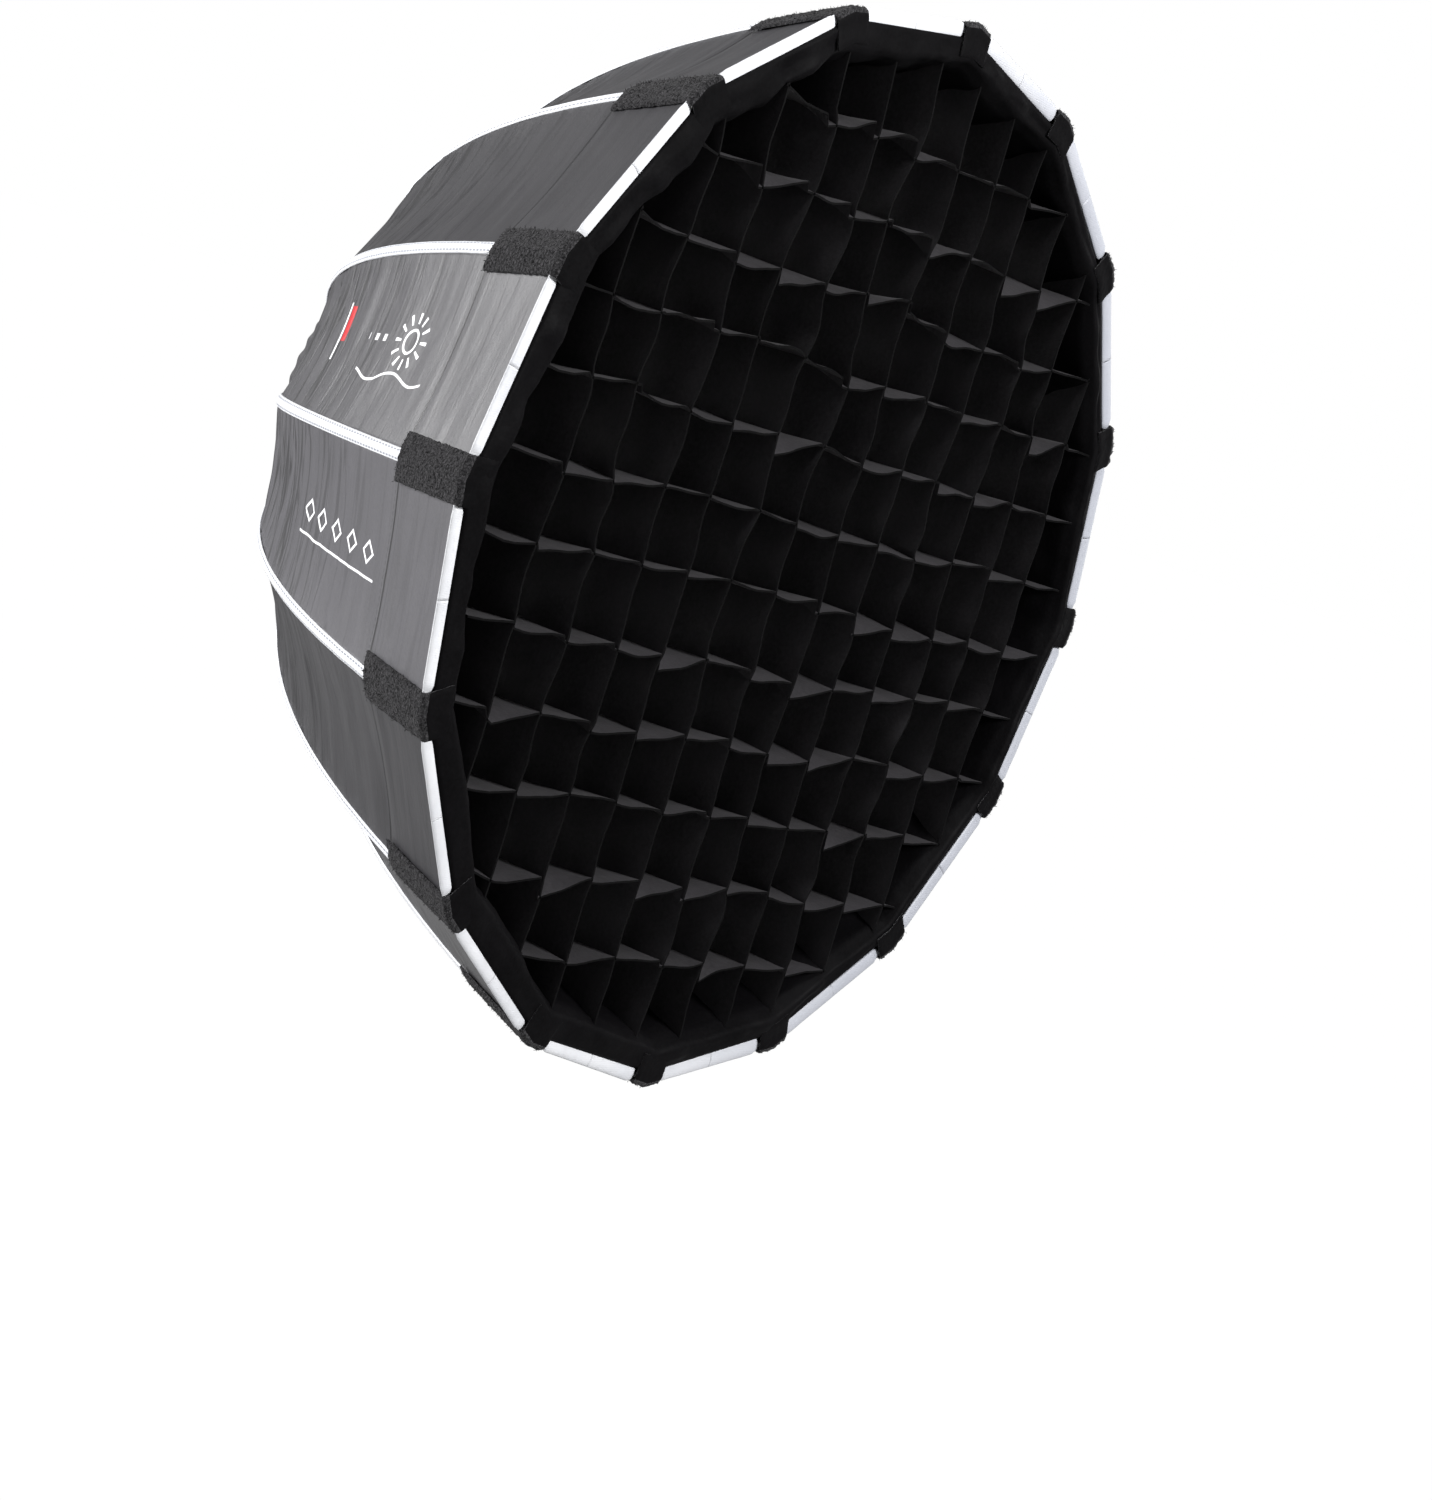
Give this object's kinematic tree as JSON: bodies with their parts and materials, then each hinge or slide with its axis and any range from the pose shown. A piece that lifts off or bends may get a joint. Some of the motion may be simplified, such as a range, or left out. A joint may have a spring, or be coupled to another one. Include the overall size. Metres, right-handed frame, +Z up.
{
  "type": "dome softbox with grid",
  "caption": "Deep dome softbox: hinged spring rods on a bayonet hub carry a cloth canopy, with a diffuser and a fabric egg-crate grid across the front.",
  "frame": {"origin": "centre of the bayonet mount's seat face, on the optical axis", "axes": "+Y along the optical axis towards the lamp, the dome opens towards -Y, +Z up with rod 1 at the top"},
  "size_m": [0.5796, 0.3163, 0.5796],
  "materials": {
    "hub_black": "black anodised, satin",
    "mount_alloy": "machined, clear anodised",
    "steel": "zinc-plated steel",
    "rod_steel": "spring steel rods with black plastic feet and tip shoes",
    "canopy_cloth": "charcoal coated cloth outside, silver inside",
    "latch_red": "moulded plastic",
    "diffusion_cloth": "white translucent cloth",
    "grid_cloth": "matte black cloth",
    "loop_tape": "fuzzy black loop tape"
  },
  "bodies": {
    "hub": {"speed_ring": "hub_black", "bayonet_mount": "mount_alloy", "clamp_ring": "hub_black", "ring_screws": "steel", "hinge_pins": "steel", "latch_springs": "steel", "rear_collar": "canopy_cloth"},
    "rod_01": {"rib_01": "rod_steel", "gore_01": "canopy_cloth"},
    "rod_02": {"rib_02": "rod_steel", "gore_02": "canopy_cloth"},
    "rod_03": {"rib_03": "rod_steel", "gore_03": "canopy_cloth"},
    "rod_04": {"rib_04": "rod_steel", "gore_04": "canopy_cloth"},
    "rod_05": {"rib_05": "rod_steel", "gore_05": "canopy_cloth"},
    "rod_06": {"rib_06": "rod_steel", "gore_06": "canopy_cloth"},
    "rod_07": {"rib_07": "rod_steel", "gore_07": "canopy_cloth"},
    "rod_08": {"rib_08": "rod_steel", "gore_08": "canopy_cloth"},
    "rod_09": {"rib_09": "rod_steel", "gore_09": "canopy_cloth"},
    "rod_10": {"rib_10": "rod_steel", "gore_10": "canopy_cloth"},
    "rod_11": {"rib_11": "rod_steel", "gore_11": "canopy_cloth"},
    "rod_12": {"rib_12": "rod_steel", "gore_12": "canopy_cloth"},
    "rod_13": {"rib_13": "rod_steel", "gore_13": "canopy_cloth"},
    "rod_14": {"rib_14": "rod_steel", "gore_14": "canopy_cloth"},
    "rod_15": {"rib_15": "rod_steel", "gore_15": "canopy_cloth"},
    "rod_16": {"rib_16": "rod_steel", "gore_16": "canopy_cloth"},
    "catch_01": {"latch_01": "latch_red"},
    "catch_02": {"latch_02": "latch_red"},
    "catch_03": {"latch_03": "latch_red"},
    "catch_04": {"latch_04": "latch_red"},
    "catch_05": {"latch_05": "latch_red"},
    "catch_06": {"latch_06": "latch_red"},
    "catch_07": {"latch_07": "latch_red"},
    "catch_08": {"latch_08": "latch_red"},
    "catch_09": {"latch_09": "latch_red"},
    "catch_10": {"latch_10": "latch_red"},
    "catch_11": {"latch_11": "latch_red"},
    "catch_12": {"latch_12": "latch_red"},
    "catch_13": {"latch_13": "latch_red"},
    "catch_14": {"latch_14": "latch_red"},
    "catch_15": {"latch_15": "latch_red"},
    "catch_16": {"latch_16": "latch_red"},
    "front_diffuser": {"diffuser": "diffusion_cloth"},
    "front_grid": {"grid_upright": "grid_cloth", "grid_cross": "grid_cloth", "grid_border": "grid_cloth", "grid_tabs": "loop_tape"}
  },
  "joints": [
    {"name": "fold", "type": "hinge", "parent": "hub", "child": "rod_01", "pos_m": [0, -0.016, 0.078], "axis": [1, 0, 0], "range_deg": [0, 42], "deforming": ["gore_01"]},
    {"name": "fold_02", "type": "hinge", "parent": "hub", "child": "rod_02", "pos_m": [0.02985, -0.016, 0.07206], "axis": [0.9239, 0, -0.3827], "range_deg": [0, 42], "deforming": ["gore_02"]},
    {"name": "fold_03", "type": "hinge", "parent": "hub", "child": "rod_03", "pos_m": [0.05515, -0.016, 0.05515], "axis": [0.7071, 0, -0.7071], "range_deg": [0, 42], "deforming": ["gore_03"]},
    {"name": "fold_04", "type": "hinge", "parent": "hub", "child": "rod_04", "pos_m": [0.07206, -0.016, 0.02985], "axis": [0.3827, 0, -0.9239], "range_deg": [0, 42], "deforming": ["gore_04"]},
    {"name": "fold_05", "type": "hinge", "parent": "hub", "child": "rod_05", "pos_m": [0.078, -0.016, 0], "axis": [0, 0, -1], "range_deg": [0, 42], "deforming": ["gore_05"]},
    {"name": "fold_06", "type": "hinge", "parent": "hub", "child": "rod_06", "pos_m": [0.07206, -0.016, -0.02985], "axis": [-0.3827, 0, -0.9239], "range_deg": [0, 42], "deforming": ["gore_06"]},
    {"name": "fold_07", "type": "hinge", "parent": "hub", "child": "rod_07", "pos_m": [0.05515, -0.016, -0.05515], "axis": [-0.7071, 0, -0.7071], "range_deg": [0, 42], "deforming": ["gore_07"]},
    {"name": "fold_08", "type": "hinge", "parent": "hub", "child": "rod_08", "pos_m": [0.02985, -0.016, -0.07206], "axis": [-0.9239, 0, -0.3827], "range_deg": [0, 42], "deforming": ["gore_08"]},
    {"name": "fold_09", "type": "hinge", "parent": "hub", "child": "rod_09", "pos_m": [0, -0.016, -0.078], "axis": [-1, 0, 0], "range_deg": [0, 42], "deforming": ["gore_09"]},
    {"name": "fold_10", "type": "hinge", "parent": "hub", "child": "rod_10", "pos_m": [-0.02985, -0.016, -0.07206], "axis": [-0.9239, 0, 0.3827], "range_deg": [0, 42], "deforming": ["gore_10"]},
    {"name": "fold_11", "type": "hinge", "parent": "hub", "child": "rod_11", "pos_m": [-0.05515, -0.016, -0.05515], "axis": [-0.7071, 0, 0.7071], "range_deg": [0, 42], "deforming": ["gore_11"]},
    {"name": "fold_12", "type": "hinge", "parent": "hub", "child": "rod_12", "pos_m": [-0.07206, -0.016, -0.02985], "axis": [-0.3827, 0, 0.9239], "range_deg": [0, 42], "deforming": ["gore_12"]},
    {"name": "fold_13", "type": "hinge", "parent": "hub", "child": "rod_13", "pos_m": [-0.078, -0.016, 0], "axis": [0, 0, 1], "range_deg": [0, 42], "deforming": ["gore_13"]},
    {"name": "fold_14", "type": "hinge", "parent": "hub", "child": "rod_14", "pos_m": [-0.07206, -0.016, 0.02985], "axis": [0.3827, 0, 0.9239], "range_deg": [0, 42], "deforming": ["gore_14"]},
    {"name": "fold_15", "type": "hinge", "parent": "hub", "child": "rod_15", "pos_m": [-0.05515, -0.016, 0.05515], "axis": [0.7071, 0, 0.7071], "range_deg": [0, 42], "deforming": ["gore_15"]},
    {"name": "fold_16", "type": "hinge", "parent": "hub", "child": "rod_16", "pos_m": [-0.02985, -0.016, 0.07206], "axis": [0.9239, 0, 0.3827], "range_deg": [0, 42], "deforming": ["gore_16"]},
    {"name": "diffuser_off", "type": "slide", "parent": "hub", "child": "front_diffuser", "axis": [0, -1, 0], "range_m": [0, 0.36653], "deforming": ["diffuser"]},
    {"name": "grid_off", "type": "slide", "parent": "hub", "child": "front_grid", "axis": [0, -1, 0], "range_m": [0, 0.51314], "deforming": ["grid_tabs"]},
    {"name": "latch_01_press", "type": "slide", "parent": "hub", "child": "catch_01", "axis": [0, 0, -1], "range_m": [0, 0.002], "stiffness_N_per_m": 600, "springref_m": -0.0008, "deforming": ["latch_springs"]},
    {"name": "latch_02_press", "type": "slide", "parent": "hub", "child": "catch_02", "axis": [-0.3827, 0, -0.9239], "range_m": [0, 0.002], "stiffness_N_per_m": 600, "springref_m": -0.0008, "deforming": ["latch_springs"]},
    {"name": "latch_03_press", "type": "slide", "parent": "hub", "child": "catch_03", "axis": [-0.7071, 0, -0.7071], "range_m": [0, 0.002], "stiffness_N_per_m": 600, "springref_m": -0.0008, "deforming": ["latch_springs"]},
    {"name": "latch_04_press", "type": "slide", "parent": "hub", "child": "catch_04", "axis": [-0.9239, 0, -0.3827], "range_m": [0, 0.002], "stiffness_N_per_m": 600, "springref_m": -0.0008, "deforming": ["latch_springs"]},
    {"name": "latch_05_press", "type": "slide", "parent": "hub", "child": "catch_05", "axis": [-1, 0, 0], "range_m": [0, 0.002], "stiffness_N_per_m": 600, "springref_m": -0.0008, "deforming": ["latch_springs"]},
    {"name": "latch_06_press", "type": "slide", "parent": "hub", "child": "catch_06", "axis": [-0.9239, 0, 0.3827], "range_m": [0, 0.002], "stiffness_N_per_m": 600, "springref_m": -0.0008, "deforming": ["latch_springs"]},
    {"name": "latch_07_press", "type": "slide", "parent": "hub", "child": "catch_07", "axis": [-0.7071, 0, 0.7071], "range_m": [0, 0.002], "stiffness_N_per_m": 600, "springref_m": -0.0008, "deforming": ["latch_springs"]},
    {"name": "latch_08_press", "type": "slide", "parent": "hub", "child": "catch_08", "axis": [-0.3827, 0, 0.9239], "range_m": [0, 0.002], "stiffness_N_per_m": 600, "springref_m": -0.0008, "deforming": ["latch_springs"]},
    {"name": "latch_09_press", "type": "slide", "parent": "hub", "child": "catch_09", "axis": [0, 0, 1], "range_m": [0, 0.002], "stiffness_N_per_m": 600, "springref_m": -0.0008, "deforming": ["latch_springs"]},
    {"name": "latch_10_press", "type": "slide", "parent": "hub", "child": "catch_10", "axis": [0.3827, 0, 0.9239], "range_m": [0, 0.002], "stiffness_N_per_m": 600, "springref_m": -0.0008, "deforming": ["latch_springs"]},
    {"name": "latch_11_press", "type": "slide", "parent": "hub", "child": "catch_11", "axis": [0.7071, 0, 0.7071], "range_m": [0, 0.002], "stiffness_N_per_m": 600, "springref_m": -0.0008, "deforming": ["latch_springs"]},
    {"name": "latch_12_press", "type": "slide", "parent": "hub", "child": "catch_12", "axis": [0.9239, 0, 0.3827], "range_m": [0, 0.002], "stiffness_N_per_m": 600, "springref_m": -0.0008, "deforming": ["latch_springs"]},
    {"name": "latch_13_press", "type": "slide", "parent": "hub", "child": "catch_13", "axis": [1, 0, 0], "range_m": [0, 0.002], "stiffness_N_per_m": 600, "springref_m": -0.0008, "deforming": ["latch_springs"]},
    {"name": "latch_14_press", "type": "slide", "parent": "hub", "child": "catch_14", "axis": [0.9239, 0, -0.3827], "range_m": [0, 0.002], "stiffness_N_per_m": 600, "springref_m": -0.0008, "deforming": ["latch_springs"]},
    {"name": "latch_15_press", "type": "slide", "parent": "hub", "child": "catch_15", "axis": [0.7071, 0, -0.7071], "range_m": [0, 0.002], "stiffness_N_per_m": 600, "springref_m": -0.0008, "deforming": ["latch_springs"]},
    {"name": "latch_16_press", "type": "slide", "parent": "hub", "child": "catch_16", "axis": [0.3827, 0, -0.9239], "range_m": [0, 0.002], "stiffness_N_per_m": 600, "springref_m": -0.0008, "deforming": ["latch_springs"]}
  ],
  "couplings": [
    {"joint": "fold_02", "follows": "fold", "ratio": 1},
    {"joint": "fold_03", "follows": "fold", "ratio": 1},
    {"joint": "fold_04", "follows": "fold", "ratio": 1},
    {"joint": "fold_05", "follows": "fold", "ratio": 1},
    {"joint": "fold_06", "follows": "fold", "ratio": 1},
    {"joint": "fold_07", "follows": "fold", "ratio": 1},
    {"joint": "fold_08", "follows": "fold", "ratio": 1},
    {"joint": "fold_09", "follows": "fold", "ratio": 1},
    {"joint": "fold_10", "follows": "fold", "ratio": 1},
    {"joint": "fold_11", "follows": "fold", "ratio": 1},
    {"joint": "fold_12", "follows": "fold", "ratio": 1},
    {"joint": "fold_13", "follows": "fold", "ratio": 1},
    {"joint": "fold_14", "follows": "fold", "ratio": 1},
    {"joint": "fold_15", "follows": "fold", "ratio": 1},
    {"joint": "fold_16", "follows": "fold", "ratio": 1},
    {"joint": "diffuser_off", "follows": "fold", "m_per_rad": 0.5},
    {"joint": "grid_off", "follows": "fold", "m_per_rad": 0.7}
  ]
}
